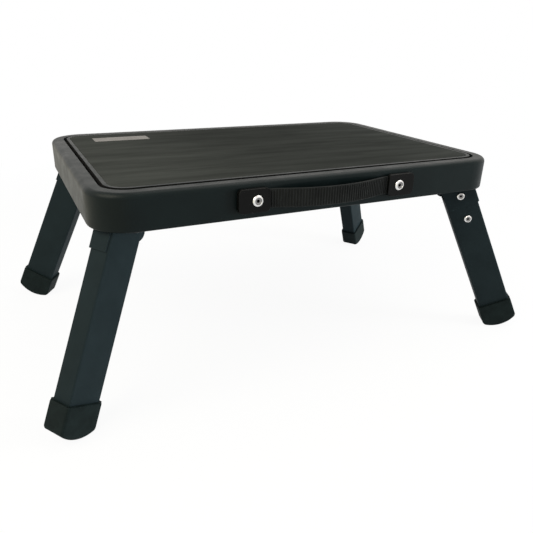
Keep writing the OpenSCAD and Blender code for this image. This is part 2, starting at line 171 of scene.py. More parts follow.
def settle(piece):
    """Turns what the modifiers make into a plain mesh."""
    bpy.context.view_layer.update()
    shape = piece.evaluated_get(bpy.context.evaluated_depsgraph_get())
    mesh = bpy.data.meshes.new_from_object(shape)
    piece.modifiers.clear()
    piece.data = mesh
    return piece


def shade_smooth(mesh):
    mesh.polygons.foreach_set("use_smooth", [True] * len(mesh.polygons))


def smooth(mesh, degrees=40):
    """Shades a mesh smooth, and leaves edges above the angle sharp."""
    shade_smooth(mesh)
    mesh.set_sharp_from_angle(angle=math.radians(degrees))


def flat_patches(faces):
    """Groups of neighbouring faces, among those given, that lie in one plane, in a fixed order."""
    left = dict.fromkeys(faces)
    patches = []
    while left:
        patch = [left.popitem()[0]]
        for face in patch:
            for edge in face.edges:
                for other in edge.link_faces:
                    joined = other in left and len(edge.link_faces) == 2
                    if joined and other.normal.angle(face.normal, math.tau) < FLAT:
                        del left[other]
                        patch.append(other)
        patches.append(patch)
    return patches


def rims_of(patch):
    """Closed runs of edges that bound a patch, each as its vertices."""
    inside = set(patch)
    around = [edge for face in patch for edge in face.edges]
    edges = dict.fromkeys(e for e in around if sum(f in inside for f in e.link_faces) == 1)
    rims = []
    while edges:
        edge = edges.popitem()[0]
        rim = dict.fromkeys(edge.verts)
        open_ends = list(edge.verts)
        while open_ends:
            for near in open_ends.pop().link_edges:
                if near in edges:
                    del edges[near]
                    open_ends.extend(near.verts)
                    rim.update(dict.fromkeys(near.verts))
        rims.append(list(rim))
    return sorted(rims, key=len)


def merge_flats(form):
    """Makes each flat patch one face, or a few where it has holes."""
    waiting = [(patch, 0) for patch in flat_patches(form.faces) if len(patch) > 1]
    whole = []
    while waiting:
        patch, cuts = waiting.pop()
        rims = rims_of(patch)
        if len(rims) == 1:
            whole.append(patch)
        elif cuts < MOST_CUTS:
            centre = sum((v.co for v in rims[0]), Vector()) / len(rims[0])
            normal = patch[0].normal
            way = normal.orthogonal() if cuts % 2 else normal.cross(normal.orthogonal())
            for side in (True, False):
                part = [f for f in patch if ((f.calc_center_median() - centre).dot(way) > 0) == side]
                waiting.extend((p, cuts + 1) for p in flat_patches(part) if len(p) > 1)
    for patch in whole:
        bmesh.ops.dissolve_faces(form, faces=patch, use_verts=False)
    loose = [v for v in form.verts if len(v.link_edges) == 2 and abs(v.calc_edge_angle(0)) < FLAT]
    bmesh.ops.dissolve_verts(form, verts=loose)


def outline_of(high):
    """Half length, half width and corner radius of a plate inside the rim, from its box's high corner."""
    return high.x, high.y, DECK_CORNER - (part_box("deck_rim")[1].x - high.x)


def inset_of(spot, outline):
    """How far a spot lies inside a rounded rectangle's outline, and the way inwards from there."""
    half_x, half_y, radius = outline
    over_x, over_y = abs(spot.x) - half_x + radius, abs(spot.y) - half_y + radius
    if over_x > 0 and over_y > 0:
        way = Vector((over_x, over_y, 0))
        depth = radius - way.length
        way.normalize()
    elif half_x - abs(spot.x) < half_y - abs(spot.y):
        way, depth = Vector((1, 0, 0)), half_x - abs(spot.x)
    else:
        way, depth = Vector((0, 1, 0)), half_y - abs(spot.y)
    return depth, Vector((-math.copysign(way.x, spot.x), -math.copysign(way.y, spot.y), 0))


def eased(node, name, finish, width, segments=3, shape=None):
    """Copy of a node, its vertices moved by shape if given, with eased edges. It stands for the node."""
    source = frame["nodes"][node]
    mesh = source.data.copy()
    form = bmesh.new()
    form.from_mesh(mesh)
    bmesh.ops.remove_doubles(form, verts=form.verts, dist=WELD)
    merge_flats(form)
    if shape:
        for vert in form.verts:
            vert.co = shape(vert.co.copy())
    form.to_mesh(mesh)
    form.free()
    shade_smooth(mesh)
    for key in ("custom_normal", "sharp_face", "sharp_edge"):
        if key in mesh.attributes:
            mesh.attributes.remove(mesh.attributes[key])
    mesh.materials.clear()
    mesh.materials.append(finish)
    piece = link(name, mesh)
    ease = piece.modifiers.new("Eased edges", "BEVEL")
    ease.width = width
    ease.segments = segments
    ease.limit_method = "ANGLE"
    ease.angle_limit = EASED_ANGLE
    ease.use_clamp_overlap = False
    ease.harden_normals = True
    ease.miter_outer = "MITER_ARC"
    settle(piece)
    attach(piece, source["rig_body"])
    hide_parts(node)
    return piece


def finish_node(node, finish):
    """Gives a node that keeps its own shape a better finish."""
    piece = frame["nodes"][node]
    for spot in piece.material_slots:
        spot.material = finish
    shade_smooth(piece.data)


def lathe(name, outline, steps, finish):
    """Closed turned shape about Z, from (radius, height) pairs that start and end on the axis."""
    form = bmesh.new()
    rings = []
    for radius, height in outline:
        ring = []
        for k in range(steps if radius > 0 else 1):
            turn = math.tau * k / steps
            ring.append(form.verts.new((radius * math.cos(turn), radius * math.sin(turn), height)))
        rings.append(ring)
    for low, high in zip(rings, rings[1:]):
        for k in range(steps):
            n = (k + 1) % steps
            face = [low[k % len(low)], low[n % len(low)], high[n % len(high)], high[k % len(high)]]
            face = list(dict.fromkeys(face))
            if len(face) > 2:
                form.faces.new(face)
    bmesh.ops.recalc_face_normals(form, faces=form.faces)
    mesh = bpy.data.meshes.new(name)
    form.to_mesh(mesh)
    form.free()
    smooth(mesh)
    mesh.materials.append(finish)
    return link(name, mesh)


def spots(name, places):
    """Mesh of loose points, each with the direction that its copy points in."""
    mesh = bpy.data.meshes.new(name)
    mesh.from_pydata([tuple(p) for p, _ in places], [], [])
    aim = mesh.attributes.new("aim", "FLOAT_VECTOR", "POINT")
    for k, (_, way) in enumerate(places):
        aim.data[k].vector = way
    return link(name, mesh)


# Shared helpers for node trees


class Wiring:
    """Adds nodes to a tree and joins them by socket name."""

    def __init__(self, tree):
        self.tree = tree

    def add(self, kind, _settings=None, **links):
        node = self.tree.nodes.new(kind)
        for key, value in (_settings or {}).items():
            setattr(node, key, value)
        for key, value in links.items():
            socket = self.find(node.inputs, key)
            if isinstance(value, bpy.types.NodeSocket):
                self.tree.links.new(value, socket)
            else:
                socket.default_value = value
        return node

    def maths(self, operation, *values):
        """Result of a maths node on numbers and sockets."""
        inputs = {"in_" + str(k): value for k, value in enumerate(values)}
        return self.add("ShaderNodeMath", {"operation": operation}, **inputs).outputs[0]

    @staticmethod
    def find(sockets, key):
        """The socket with a name, or with a number where the key is in_ and a number."""
        words = key.replace("_", " ").lower()
        if words.startswith("in "):
            return sockets[int(words[3:])]
        return next(s for s in sockets if s.name.lower() == words and s.enabled)


def geometry_tree(name, inputs):
    """Empty node tree with a geometry in and out, and the named inputs."""
    tree = bpy.data.node_groups.new(name, "GeometryNodeTree")
    tree.interface.new_socket("Geometry", in_out="INPUT", socket_type="NodeSocketGeometry")
    tree.interface.new_socket("Geometry", in_out="OUTPUT", socket_type="NodeSocketGeometry")
    for label, kind, default in inputs:
        socket = tree.interface.new_socket(label, in_out="INPUT", socket_type=kind)
        if default is not None:
            socket.default_value = default
    return tree


def grow(piece, tree, **values):
    """Runs a geometry tree on a piece with the given inputs and keeps the plain mesh."""
    modifier = piece.modifiers.new(tree.name, "NODES")
    modifier.node_group = tree
    for item in tree.interface.items_tree:
        key = item.name.replace(" ", "_").lower()
        if item.in_out == "INPUT" and key in values:
            modifier[item.identifier] = values[key]
    return settle(piece)


def scatter_tree():
    """Places a copy of a turned part at each point, along the point's own direction."""
    tree = geometry_tree(
        "Placed fixings",
        [
            ("Part", "NodeSocketObject", None),
            ("Finish", "NodeSocketMaterial", None),
        ],
    )
    w = Wiring(tree)
    given = w.add("NodeGroupInput").outputs
    part = w.add("GeometryNodeObjectInfo", {"transform_space": "ORIGINAL"}, object=given["Part"])
    aim = w.add("GeometryNodeInputNamedAttribute", {"data_type": "FLOAT_VECTOR"}, name="aim")
    way = w.add("FunctionNodeAlignRotationToVector", {"axis": "Z"}, vector=aim.outputs[0])
    copies = w.add(
        "GeometryNodeInstanceOnPoints",
        points=given["Geometry"],
        instance=part.outputs["Geometry"],
        rotation=way.outputs[0],
    )
    real = w.add("GeometryNodeRealizeInstances", geometry=copies.outputs[0])
    done = w.add("GeometryNodeSetMaterial", geometry=real.outputs[0], material=given["Finish"])
    w.add("NodeGroupOutput", geometry=done.outputs[0])
    return tree


def strap_tree():
    """Sweeps a strap along a path and sets upright ribs along its outer face."""
    tree = geometry_tree(
        "Ribbed strap",
        [
            ("Height", "NodeSocketFloat", 0.019),
            ("Thickness", "NodeSocketFloat", 0.003),
            ("Rounding", "NodeSocketFloat", 0.0008),
            ("Rib pitch", "NodeSocketFloat", 0.003),
            ("Rib radius", "NodeSocketFloat", 0.001),
            ("Rib margin", "NodeSocketFloat", 0.002),
            ("Finish", "NodeSocketMaterial", None),
        ],
    )
    w = Wiring(tree)
    given = w.add("NodeGroupInput").outputs
    path = w.add("GeometryNodeMeshToCurve", mesh=given["Geometry"])
    path = w.add("GeometryNodeSetCurveNormal", {"mode": "Z_UP"}, curve=path.outputs[0])
    section = w.add(
        "GeometryNodeCurvePrimitiveQuadrilateral",
        {"mode": "RECTANGLE"},
        width=given["Thickness"],
        height=given["Height"],
    )
    section = w.add("GeometryNodeFilletCurve", {"mode": "POLY"}, curve=section.outputs[0], count=3)
    tree.links.new(given["Rounding"], w.find(section.inputs, "radius"))
    band = w.add(
        "GeometryNodeCurveToMesh", curve=path.outputs[0], profile_curve=section.outputs[0], fill_caps=True
    )
    marks = w.add(
        "GeometryNodeCurveToPoints",
        {"mode": "LENGTH"},
        curve=path.outputs[0],
        length=given["Rib pitch"],
    )
    turn = w.add(
        "FunctionNodeAlignRotationToVector",
        {"axis": "X", "pivot_axis": "Z"},
        vector=marks.outputs["Tangent"],
    )
    rib = w.add(
        "GeometryNodeMeshCylinder",
        {"fill_type": "NGON"},
        vertices=10,
        radius=given["Rib radius"],
        depth=w.maths("SUBTRACT", given["Height"], given["Rib margin"]),
    )
    shift = w.add("ShaderNodeCombineXYZ", y=w.maths("MULTIPLY", given["Thickness"], -0.5))
    rib = w.add("GeometryNodeTransform", geometry=rib.outputs[0], translation=shift.outputs[0])
    ribs = w.add(
        "GeometryNodeInstanceOnPoints",
        points=marks.outputs[0],
        instance=rib.outputs[0],
        rotation=turn.outputs[0],
    )
    both = w.add("GeometryNodeJoinGeometry")
    tree.links.new(ribs.outputs[0], both.inputs[0])
    tree.links.new(band.outputs[0], both.inputs[0])
    real = w.add("GeometryNodeRealizeInstances", geometry=both.outputs[0])
    soft = w.add("GeometryNodeSetShadeSmooth", geometry=real.outputs[0], shade_smooth=True)
    done = w.add("GeometryNodeSetMaterial", geometry=soft.outputs[0], material=given["Finish"])
    w.add("NodeGroupOutput", geometry=done.outputs[0])
    return tree


# Finishes


def base_finish(name, colour, rough, **more):
    """New material, returned with its wiring and its shader."""
    material = bpy.data.materials.new(name)
    material.use_nodes = True
    w = Wiring(material.node_tree)
    shader = next(n for n in material.node_tree.nodes if n.type == "BSDF_PRINCIPLED")
    shader.inputs["Base Color"].default_value = (*colour[:3], 1)
    shader.inputs["Roughness"].default_value = rough
    shader.inputs["Specular IOR Level"].default_value = bpy.context.scene.step_look.gleam
    for key, value in more.items():
        shader.inputs[key.replace("_", " ")].default_value = value
    return material, w, shader


def grain(w, scale, detail, stretch=(1, 1, 1), roughness=0.55):
    """Noise on object coordinates, in features per metre, drawn out along an axis by stretch."""
    place = w.add("ShaderNodeTexCoord")
    spread = w.add("ShaderNodeMapping", vector=place.outputs["Object"], scale=stretch)
    noise = w.add("ShaderNodeTexNoise", vector=spread.outputs[0], scale=scale, detail=detail)
    noise.inputs["Roughness"].default_value = roughness
    return noise.outputs["Fac"]


def between(w, value, low, high, out_low, out_high):
    """Maps a value from one range to another, and holds it inside that range."""
    return w.add(
        "ShaderNodeMapRange", value=value, from_min=low, from_max=high, to_min=out_low, to_max=out_high
    ).outputs[0]


def tint(w, value, dark, light):
    """Mixes two colours by a value from 0 to 1."""
    mix = w.add("ShaderNodeMix", {"data_type": "RGBA"})
    w.tree.links.new(value, mix.inputs[0])
    mix.inputs[6].default_value = (*dark, 1)
    mix.inputs[7].default_value = (*light, 1)
    return mix.outputs[2]


def relief(w, shader, height, distance, strength, under=None):
    """Raises the shader's surface by a height, on top of another relief if given."""
    bump = w.add("ShaderNodeBump", height=height, distance=distance, strength=strength)
    if under is not None:
        w.tree.links.new(under, bump.inputs["Normal"])
    w.tree.links.new(bump.outputs[0], shader.inputs["Normal"])
    return bump.outputs[0]


def scaled(colour, factor):
    return tuple(min(1.0, c * factor) for c in colour[:3])


def moulded_plastic(name, colour, rough, depth, grain_scale=900):
    """Satin plastic with a fine moulded grain and a slight unevenness of tone and sheen."""
    material, w, shader = base_finish(name, colour, rough)
    tone = between(w, grain(w, 26, 4), *NOISE, 0, 1)
    w.tree.links.new(tint(w, tone, scaled(colour, 0.86), scaled(colour, 1.16)), shader.inputs["Base Color"])
    sheen = between(w, grain(w, 60, 5), *NOISE, rough - 0.05, rough + 0.06)
    w.tree.links.new(sheen, shader.inputs["Roughness"])
    wave = relief(w, shader, grain(w, 45, 2), 0.0006, 0.35)
    relief(w, shader, grain(w, grain_scale, 3), depth, 0.5, wave)
    return material


def tread_rubber(name, colour, rough):
    """Dark rubber with streaks along the long side, a close matt grain, and painted light that makes its ends
    paler.
    """
    material, w, shader = base_finish(name, colour, rough, Specular_IOR_Level=0.0)
    streaks = between(w, grain(w, 60, 6, (0.14, 1, 1), 0.62), 0.32, 0.68, 0, 1)
    place = w.add("ShaderNodeTexCoord")
    along = w.add("ShaderNodeSeparateXYZ", vector=place.outputs["Object"])
    away = w.maths("ABSOLUTE", w.maths("SUBTRACT", along.outputs["X"], TREAD_LEAST_PAINTED_LIGHT))
    # Painted light: the tread grows paler away from a line near its middle, as a broad reflection would make
    # it
    painted_light_ends = w.add("ShaderNodeMix", {"data_type": "RGBA"})
    w.tree.links.new(between(w, away, TREAD_PAINTED_LIGHT_FROM, TREAD_PAINTED_LIGHT_TO, 0, 1), painted_light_ends.inputs[0])
    w.tree.links.new(tint(w, streaks, scaled(colour, 0.80), scaled(colour, 1.26)), painted_light_ends.inputs[6])
    w.tree.links.new(tint(w, streaks, scaled(colour, 1.12), scaled(colour, 1.70)), painted_light_ends.inputs[7])
    w.tree.links.new(painted_light_ends.outputs[2], shader.inputs["Base Color"])
    sheen = between(w, grain(w, 110, 5, (0.10, 1, 1), 0.6), *NOISE, rough - 0.07, rough + 0.07)
    w.tree.links.new(sheen, shader.inputs["Roughness"])
    wave = relief(w, shader, grain(w, 300, 4, (0.09, 1, 1), 0.6), 0.00025, 0.6)
    relief(w, shader, grain(w, 1500, 2), 0.0001, 0.6, wave)
    return material


def powder_coat(name, colour, rough):
    """Slate powder coat with orange peel and a slightly mottled sheen."""
    material, w, shader = base_finish(name, colour, rough, Specular_IOR_Level=0.05)
    tone = between(w, grain(w, 34, 3), *NOISE, 0, 1)
    w.tree.links.new(tint(w, tone, scaled(colour, 0.90), scaled(colour, 1.10)), shader.inputs["Base Color"])
    sheen = between(w, grain(w, 90, 4), *NOISE, rough - 0.04, rough + 0.05)
    w.tree.links.new(sheen, shader.inputs["Roughness"])
    relief(w, shader, grain(w, 700, 2), 0.00012, 0.5)
    return material


def soft_rubber(name, colour, rough):
    """Matt rubber with a dry bloom and a fine pebbled grain."""
    material, w, shader = base_finish(name, colour, rough, Specular_IOR_Level=0.07)
    bloom = between(w, grain(w, 70, 6, roughness=0.7), 0.35, 0.75, 0, 1)
    w.tree.links.new(tint(w, bloom, scaled(colour, 0.8), scaled(colour, 1.45)), shader.inputs["Base Color"])
    relief(w, shader, grain(w, 1200, 3), 0.00015, 0.5)
    return material


def plated(name, colour, rough):
    """Bright plate with faint handling marks."""
    material, w, shader = base_finish(name, colour, rough, Metallic=1.0, Specular_IOR_Level=0.5)
    marks = between(w, grain(w, 900, 5, roughness=0.7), 0.35, 0.7, rough - 0.04, rough + 0.10)
    w.tree.links.new(marks, shader.inputs["Roughness"])
    relief(w, shader, grain(w, 1400, 2), 0.00003, 0.4)
    return material


FINISHES = {}


def step_finish(key):
    """One of the step's finishes, made on first use from the look settings."""
    if key not in FINISHES:
        look = bpy.context.scene.step_look
        makers = {
            "deck": lambda: moulded_plastic("Deck plastic", look.deck_colour, look.deck_rough, 0.00012),
            "ribs": lambda: moulded_plastic("Rib plastic", scaled(look.deck_colour, 0.85), 0.5, 0.0001),
            "tread": lambda: tread_rubber("Tread rubber", look.tread_colour, look.tread_rough),
            "label": lambda: moulded_plastic("Bare label", look.label_colour, 0.45, 0.00003, 600),
            "legs": lambda: powder_coat("Leg powder coat", look.leg_colour, look.leg_rough),
            "feet": lambda: soft_rubber("Foot rubber", look.foot_colour, 0.62),
            "block": lambda: moulded_plastic("Hinge nylon", scaled(look.foot_colour, 0.9), 0.42, 0.00008),
            "handle": lambda: moulded_plastic("Handle plastic", look.handle_colour, 0.36, 0.00005, 1100),
            "strap": lambda: soft_rubber("Strap plastic", scaled(look.handle_colour, 6.2), 0.5),
            # Painted shade, near black, in the rivets' centre holes
            "hole": lambda: soft_rubber("Rivet hole shade", (0.006, 0.006, 0.006), 0.8),
            # Painted shade, near black, on the bead's outer wall beside the rim
            "groove_painted_shade": lambda: soft_rubber("Painted groove shade", (0.002, 0.002, 0.002), 0.9),
            # Painted shade: a dim grey copy of the nickel plate in the rivets' dished recesses
            "recess": lambda: plated("Rivet recess", (0.26, 0.26, 0.26), 0.34),
            "nickel": lambda: plated("Nickel plate", (0.86, 0.86, 0.85), 0.22),
            "steel": lambda: plated("Zinc plate", (0.60, 0.60, 0.59), 0.34),
        }
        FINISHES[key] = makers[key]()
    return FINISHES[key]


# Settings


class STEP_PG_look(bpy.types.PropertyGroup):
    """Colours and sheen of the step's finishes."""

    deck_colour: bpy.props.FloatVectorProperty(
        name="Deck", description="Colour of the moulded deck", subtype="COLOR", size=3, min=0, max=1,
        default=(0.0032, 0.0066, 0.0070),
    )
    gleam: bpy.props.FloatProperty(
        name="Gleam", description="How strongly the moulded plastic mirrors light", subtype="FACTOR",
        default=0.12, min=0, max=1,
    )
    deck_rough: bpy.props.FloatProperty(
        name="Deck roughness", description="How matt the deck is", subtype="FACTOR",
        default=0.40, min=0.1, max=1,
    )
    tread_colour: bpy.props.FloatVectorProperty(
        name="Tread", description="Colour of the rubber tread", subtype="COLOR", size=3, min=0, max=1,
        default=(0.0325, 0.0348, 0.0335),
    )
    tread_rough: bpy.props.FloatProperty(
        name="Tread roughness", description="How matt the tread is", subtype="FACTOR",
        default=0.62, min=0.1, max=1,
    )
    label_colour: bpy.props.FloatVectorProperty(
        name="Label", description="Colour of the bare label", subtype="COLOR", size=3, min=0, max=1,
        default=(0.161, 0.152, 0.147),
    )
    leg_colour: bpy.props.FloatVectorProperty(
        name="Legs", description="Colour of the powder coat", subtype="COLOR", size=3, min=0, max=1,
        default=(0.0113, 0.0184, 0.0214),
    )
    leg_rough: bpy.props.FloatProperty(
        name="Leg roughness", description="How matt the powder coat is", subtype="FACTOR",
        default=0.55, min=0.1, max=1,
    )
    foot_colour: bpy.props.FloatVectorProperty(
        name="Feet", description="Colour of the rubber feet", subtype="COLOR", size=3, min=0, max=1,
        default=(0.0060, 0.0105, 0.0108),
    )
    handle_colour: bpy.props.FloatVectorProperty(
        name="Handle", description="Colour of the strap and its ends", subtype="COLOR", size=3, min=0, max=1,
        default=(0.0018, 0.0020, 0.0020),
    )


class STEP_PG_sizes(bpy.types.PropertyGroup):
    """Sizes of the dressed details."""

    rib_pitch: bpy.props.FloatProperty(
        name="Rib pitch", description="Distance between the strap's ribs", default=0.003, unit="LENGTH"
    )
    rib_radius: bpy.props.FloatProperty(
        name="Rib radius", description="Radius of each rib on the strap", default=0.0008, unit="LENGTH"
    )
    strap_bow: bpy.props.FloatProperty(
        name="Strap bow", description="How far the strap stands out", default=0.013, unit="LENGTH"
    )
    strap_bend: bpy.props.FloatProperty(
        name="Strap bend", description="Bend radius beside the strap's ends", default=0.040, unit="LENGTH"
    )
    leg_rivet: bpy.props.FloatProperty(
        name="Leg rivet", description="Diameter of the rivet heads on the legs", default=0.0097, unit="LENGTH"
    )
    handle_rivet: bpy.props.FloatProperty(
        name="Handle rivet", description="Diameter of the rivet heads on the handle", unit="LENGTH",
        default=0.0116,
    )
    edge: bpy.props.FloatProperty(
        name="Eased edge", description="Width that the legs' eased edges take a share of", unit="LENGTH",
        default=0.0005,
    )


class STEP_PG_stage(bpy.types.PropertyGroup):
    """Camera, light and floor."""

    lens: bpy.props.FloatProperty(
        name="Lens", description="Focal length on a 36 mm sensor", default=36.357, unit="CAMERA"
    )
    camera_place: bpy.props.FloatVectorProperty(
        name="Camera", description="Where the camera stands", size=3, subtype="TRANSLATION", unit="LENGTH",
        default=(-0.30122, -0.62088, 0.12920 + RIM_TOP),
    )
    yaw: bpy.props.FloatProperty(
        name="Yaw", description="Camera's turn to the right", default=0.46461, subtype="ANGLE"
    )
    pitch: bpy.props.FloatProperty(
        name="Pitch", description="Camera's tilt down", default=0.40507, subtype="ANGLE"
    )
    roll: bpy.props.FloatProperty(
        name="Roll", description="Camera's roll", default=0.02670, subtype="ANGLE"
    )
    sky: bpy.props.FloatProperty(
        name="Sky", description="Strength of the even light", subtype="FACTOR",
        default=0.40, min=0, soft_max=2,
    )
    shine: bpy.props.FloatProperty(
        name="Shine", description="Strength of the white surroundings in reflections", subtype="FACTOR",
        default=0.96, min=0, max=1,
    )
    floor_shine: bpy.props.FloatProperty(
        name="Floor shine", description="Strength of the white floor in reflections", subtype="FACTOR",
        default=0.85, min=0, max=1,
    )
    power: bpy.props.FloatProperty(
        name="Lamp power", description="Power that each lamp takes a share of", unit="POWER",
        default=26, min=0,
    )
    floor_colour: bpy.props.FloatVectorProperty(
        name="Floor", description="Colour of the floor", subtype="COLOR", size=3, min=0, max=1,
        default=(0.86, 0.86, 0.86),
    )


# Operators


class STEP_OT_deck(bpy.types.Operator):
    """Finishes the moulded deck and its underside"""

    bl_idname = "step.deck"
    bl_label = "Deck"

    def execute(self, context):
        for node in ("deck_rim", "deck_skirt", "deck_plate"):
            finish_node(node, step_finish("deck"))
        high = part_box("tread_panel")[1]
        outline = outline_of(high)

        def raise_bead(spot):
            """Moves a vertex of the bead, and leaves the rest of the panel."""
            depth, inwards = inset_of(spot, outline)
            if depth > BEAD_WIDTH:
                return spot
            on_top = spot.z > high.z - 1e-4
            outer = BEAD_TOP_IN if on_top else BEAD_FOOT_IN
            shift = BEAD_INNER_IN if depth > BEAD_MIDDLE else outer
            return spot + inwards * shift + Vector((0, 0, BEAD_RISE if on_top else 0))

        bead = eased("tread_panel", "tread_surround", step_finish("deck"), width=0.0004, shape=raise_bead)
        # The bead's outer wall and its bevel get a near-black finish: painted shade of the groove beside the
        # rim
        bead.data.materials.append(step_finish("groove_painted_shade"))
        for face in bead.data.polygons:
            if inset_of(face.center, outline)[0] < BEAD_PAINTED_SHADE and face.normal.z < 0.8:
                face.material_index = 1
        finish_node("deck_ribs", step_finish("ribs"))
        return {"FINISHED"}


class STEP_OT_tread(bpy.types.Operator):
    """Finishes the rubber tread and the bare label"""

    bl_idname = "step.tread"
    bl_label = "Tread"

    def execute(self, context):
        outline = outline_of(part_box("tread_mat")[1])

        def narrow(spot):
            """Moves the mat's edge in with the bead's inner edge."""
            depth, inwards = inset_of(spot, outline)
            return spot + inwards * BEAD_INNER_IN if depth < BEAD_MIDDLE else spot

        eased("tread_mat", "tread_rubber", step_finish("tread"), width=0.0003, segments=2, shape=narrow)
        finish_node("blank_label", step_finish("label"))
        return {"FINISHED"}


class STEP_OT_legs(bpy.types.Operator):
    """Finishes the tubes and their folded brackets"""

    bl_idname = "step.legs"
    bl_label = "Legs"

    def execute(self, context):
        edge = context.scene.step_sizes.edge
        coat = step_finish("legs")
        for corner in CORNERS:
            eased("leg_tube_" + corner, "tube_" + corner, coat, width=edge * 0.6, segments=2)
            eased("leg_bracket_" + corner, "bracket_" + corner, coat, width=edge * 0.8, segments=2)
            eased("leg_liner_" + corner, "liner_" + corner, coat, width=edge * 0.6, segments=2)
        return {"FINISHED"}


class STEP_OT_feet(bpy.types.Operator):
    """Finishes the rubber feet"""

    bl_idname = "step.feet"
    bl_label = "Feet"

    def execute(self, context):
        for corner in CORNERS:
            eased("leg_foot_" + corner, "foot_" + corner, step_finish("feet"), width=0.0024, segments=5)
        return {"FINISHED"}


class STEP_OT_hinges(bpy.types.Operator):
    """Finishes the hinge blocks, the pivot pins and the screws"""

    bl_idname = "step.hinges"
    bl_label = "Hinges"

    def execute(self, context):
        nylon = step_finish("block")
        steel = step_finish("steel")
        for corner in CORNERS:
            eased("hinge_block_" + corner, "block_" + corner, nylon, width=0.0006, segments=2)
            eased("pivot_pin_" + corner, "pin_" + corner, nylon, width=0.0006)
            eased("block_screws_" + corner, "screws_" + corner, steel, width=0.0009)
        eased("panel_screws", "panel_fixings", steel, width=0.0008)
        return {"FINISHED"}


def rivet_outline(head, rise, grip, tail):
    """Half section of a blind rivet: dished head above Z = 0, shank and formed tail below."""
    hole = head * RIVET_HOLE
    return [
        (0, -grip - 0.003),
        (tail * 0.7, -grip - 0.003),
        (tail, -grip - 0.0022),
        (tail, -grip),
        (RIVET_SHANK, -grip),
        (RIVET_SHANK, 0),
        (head, 0),
        *((head * out, rise * up) for out, up in RIVET_TOP),
        (hole + 0.0003, rise * 0.56),
        (hole, rise * 0.48),
        (hole * 0.97, -RIVET_HOLE_DEPTH),
        (0, -RIVET_HOLE_DEPTH),
    ]


def darken_centres(piece, places, head):
    """Paints shade on the rivets: a dark finish in their centre holes and a grey one on the dished part
    around them.
    """
    piece.data.materials.append(step_finish("hole"))
    piece.data.materials.append(step_finish("recess"))
    for face in piece.data.polygons:
        for place, way in places:
            reach = face.center - place
            along = reach.dot(way)
            out = (reach - way * along).length
            if along > -RIVET_HOLE_DEPTH - 1e-4 and out < head * RIVET_SHADED_DISH:
                # Painted shade: near black in the hole, dim grey plate on the dish around it
                face.material_index = 1 if out < head * RIVET_HOLE else 2


class STEP_OT_rivets(bpy.types.Operator):
    """Sets the blind rivets in the legs and the handle"""

    bl_idname = "step.rivets"
    bl_label = "Rivets"

    def execute(self, context):
        sizes = context.scene.step_sizes
        tree = scatter_tree()
        plate = step_finish("nickel")
        outline = rivet_outline(sizes.leg_rivet / 2, rise=0.0018, grip=0.0030, tail=0.0034)
        small = lathe("leg_rivet_part", outline, 40, plate)
        for corner in CORNERS:
            m = leg_matrix(corner)
            side = (m.to_3x3() @ Vector((0, -1, 0))).normalized()
            places = [(m @ Vector(seat), side) for seat in LEG_RIVETS]
            piece = grow(spots("rivets_" + corner, places), tree, part=small, finish=plate)
            darken_centres(piece, places, sizes.leg_rivet / 2)
            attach(piece, "leg_" + corner)
            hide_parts("leg_rivets_" + corner)
        low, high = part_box("handle_rivets")
        rise = 0.002
        outline = rivet_outline(sizes.handle_rivet / 2, rise, grip=0.0095, tail=0.0039)
        large = lathe("handle_rivet_part", outline, 48, plate)
        radius = (high.z - low.z) / 2
        z = (low.z + high.z) / 2
        forward = Vector((0, -1, 0))
        places = [(Vector((x, low.y + rise, z)), forward) for x in (low.x + radius, high.x - radius)]
        piece = grow(spots("rivets_handle", places), tree, part=large, finish=plate)
        darken_centres(piece, places, sizes.handle_rivet / 2)
        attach(piece, "deck")
        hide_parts("handle_rivets")
        for part in (small, large):
            bpy.data.objects.remove(part)
        return {"FINISHED"}


def strap_path(half, bow, bend, tail, steps=48, bend_steps=12):
    """Points along half the strap's centreline, from the middle out, in plan."""
    turn = 2 * math.atan(bow / half)
    arc = half / math.sin(turn) - bend
    points = []
    for k in range(steps + 1):
        done = turn * k / steps
        points.append((arc * math.sin(done), arc - bow - arc * math.cos(done)))
    for k in range(1, bend_steps + 1):
        left = turn * (1 - k / bend_steps)
        points.append((half - bend * math.sin(left), bend * math.cos(left) - bend))
    points.append((half + tail, 0))
    return points


class STEP_OT_handle(bpy.types.Operator):
    """Makes the ribbed strap and finishes its moulded ends"""

    bl_idname = "step.handle"
    bl_label = "Handle"

    def execute(self, context):
        sizes = context.scene.step_sizes
        low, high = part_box("handle_strap")
        middle = (low.x + high.x) / 2
        half_run = (high.x - low.x) / 2
        half = half_run - STRAP_FLAT_END
        points = strap_path(half, sizes.strap_bow, sizes.strap_bend, half_run - half)
        line = [(-x, y) for x, y in reversed(points[1:])] + points
        seat = high.y - STRAP_THICKNESS / 2
        z = (low.z + high.z) / 2
        mesh = bpy.data.meshes.new("strap_path")
        steps = [(k, k + 1) for k in range(len(line) - 1)]
        mesh.from_pydata([(middle + x, seat + y, z) for x, y in line], steps, [])
        strap = link("strap", mesh)
        grow(
            strap,
            strap_tree(),
            height=high.z - low.z,
            thickness=STRAP_THICKNESS,
            rounding=STRAP_ROUNDING,
            rib_pitch=sizes.rib_pitch,
            rib_radius=sizes.rib_radius,
            rib_margin=RIB_MARGIN,
            finish=step_finish("strap"),
        )
        smooth(strap.data)
        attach(strap, "deck")
        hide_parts("handle_strap", "strap_ribs")
        plastic = step_finish("handle")
        for side in ("left", "right"):
            eased("handle_end_" + side, "strap_end_" + side, plastic, width=0.0005, segments=2)
        return {"FINISHED"}


